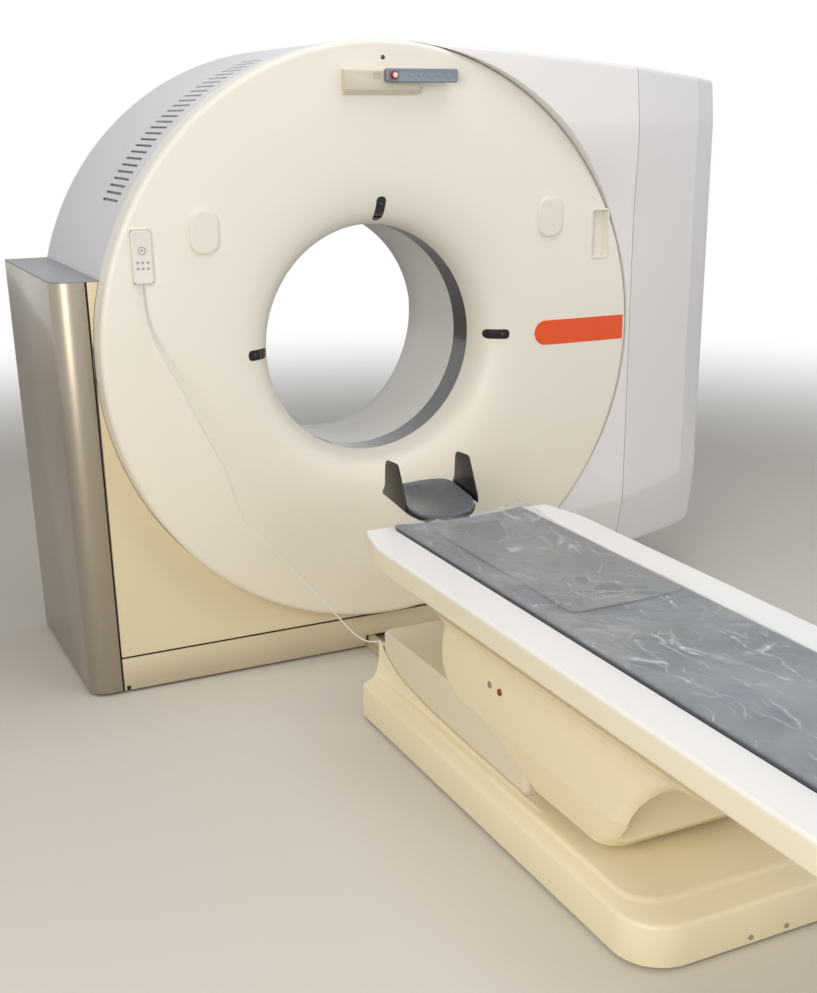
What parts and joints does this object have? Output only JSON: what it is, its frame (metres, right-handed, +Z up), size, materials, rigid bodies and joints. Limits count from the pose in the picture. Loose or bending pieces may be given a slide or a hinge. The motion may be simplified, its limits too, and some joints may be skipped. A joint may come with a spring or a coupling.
{
  "type": "ct scanner",
  "caption": "Medical imaging ring with a deep funnelled bore, swept side covers and a lifting patient table whose padded cradle slides through the bore.",
  "frame": {"origin": "floor point straight below the isocentre", "axes": "+Z up; +Y along the bore from the patient table to the rear of the ring; +X to the right seen from the table"},
  "size_m": [2.332, 3.575, 1.877],
  "materials": {
    "frame_paint": "matte powder coat",
    "machine_grey": "satin paint",
    "cast_grey": "machined and painted",
    "bearing_steel": "ground",
    "copper_coils": "resin-potted windings",
    "magnet_steel": "plated",
    "slip_brass": "turned",
    "black_plastic": "fine grain",
    "alu_housing": "bead blasted",
    "alu_dark": "anodised",
    "cover_white": "satin moulded",
    "wing_white": "satin moulded",
    "window_dark": "smooth",
    "side_champagne": "metallic satin",
    "panel_cream": "satin",
    "gasket_rubber": "matte",
    "lens_black": "polished",
    "beige_plastic": "fine grain",
    "bar_grey": "metallic satin",
    "signal_red": "polished",
    "pad_cream": "satin",
    "handset_white": "satin",
    "cord_grey": "satin",
    "band_orange": "film, satin",
    "tub_cream": "satin moulded",
    "screw_steel": "plain",
    "skirt_greige": "satin moulded",
    "deck_white": "satin moulded",
    "key_grey": "smooth",
    "carbon_black": "polished carbon-fibre skin",
    "bed_fabric": "coated cover over foam",
    "overlay_grey": "coated",
    "film_clear": "thin clear sheet",
    "pad_grey": "coated foam"
  },
  "bodies": {
    "gantry": {"gantry_base": "frame_paint", "cover_frame": "frame_paint", "stator_frame": "machine_grey", "bearing_outer": "bearing_steel", "drive_coils": "copper_coils", "power_unit": "alu_housing", "brush_block": "black_plastic", "front_cover": "cover_white", "scan_window": "window_dark", "rear_tunnel": "cover_white", "rear_cover": "wing_white", "drum_shell": "cover_white", "wing_front_cover": "wing_white", "wing_side_cover": "wing_white", "side_cover": "side_champagne", "shoulder_cover": "side_champagne", "lower_front_panel": "panel_cream", "kick_plate": "panel_cream", "cover_gaskets": "gasket_rubber", "optical_windows": "lens_black", "intercom_box": "beige_plastic", "control_bar": "bar_grey", "tablet_pads": "pad_cream", "dock_trays": "pad_cream", "handset": "handset_white", "handset_cord": "cord_grey", "colour_band": "band_orange", "floor_duct": "frame_paint", "table_frame": "frame_paint", "base_cover": "tub_cream", "cover_screws": "screw_steel", "lift_mast": "bearing_steel", "lift_screw": "bearing_steel", "cable_gland": "gasket_rubber"},
    "rotor": {"bearing_inner": "bearing_steel", "rotor_drum": "machine_grey", "drive_magnets": "magnet_steel", "slip_ring": "slip_brass", "xray_tube": "alu_housing", "collimator": "alu_dark", "detector_arc": "alu_housing", "hv_generator": "alu_housing", "cooling_unit": "alu_dark"},
    "skirt": {"lift_skirt": "skirt_greige"},
    "deck": {"inner_skirt": "skirt_greige", "lift_carriage": "machine_grey", "saddle_cover": "tub_cream", "table_deck": "deck_white", "cradle_rails": "bearing_steel", "switch_box": "black_plastic"},
    "cradle": {"cradle": "carbon_black", "mattress": "bed_fabric", "overlay_pad": "overlay_grey", "cover_film": "film_clear", "head_holder": "carbon_black", "head_pad": "pad_grey"},
    "emergency_key": {"emergency_button": "signal_red"},
    "release_key": {"release_button": "key_grey"},
    "table_stop_key": {"table_stop_button": "signal_red"}
  },
  "joints": [
    {"name": "rotor_spin", "type": "hinge", "parent": "gantry", "child": "rotor", "pos_m": [0, 0, 1.01], "axis": [0, 1, 0], "continuous": true},
    {"name": "table_lift", "type": "slide", "parent": "gantry", "child": "deck", "axis": [0, 0, 1], "range_m": [0, 0.32]},
    {"name": "skirt_lift", "type": "slide", "parent": "gantry", "child": "skirt", "axis": [0, 0, 1], "range_m": [0, 0.0952]},
    {"name": "cradle_slide", "type": "slide", "parent": "deck", "child": "cradle", "axis": [0, 1, 0], "range_m": [0, 1.6]},
    {"name": "emergency_press", "type": "slide", "parent": "gantry", "child": "emergency_key", "axis": [0, 1, 0], "range_m": [0, 0.005], "stiffness_N_per_m": 600},
    {"name": "release_press", "type": "slide", "parent": "deck", "child": "release_key", "axis": [1, 0, 0], "range_m": [0, 0.003], "stiffness_N_per_m": 400},
    {"name": "table_stop_press", "type": "slide", "parent": "deck", "child": "table_stop_key", "axis": [1, 0, 0], "range_m": [0, 0.003], "stiffness_N_per_m": 400}
  ],
  "couplings": [
    {"joint": "skirt_lift", "follows": "table_lift", "ratio": 0.295},
    {"joint": "cradle_slide", "follows": "table_lift", "ratio": 1.35}
  ]
}
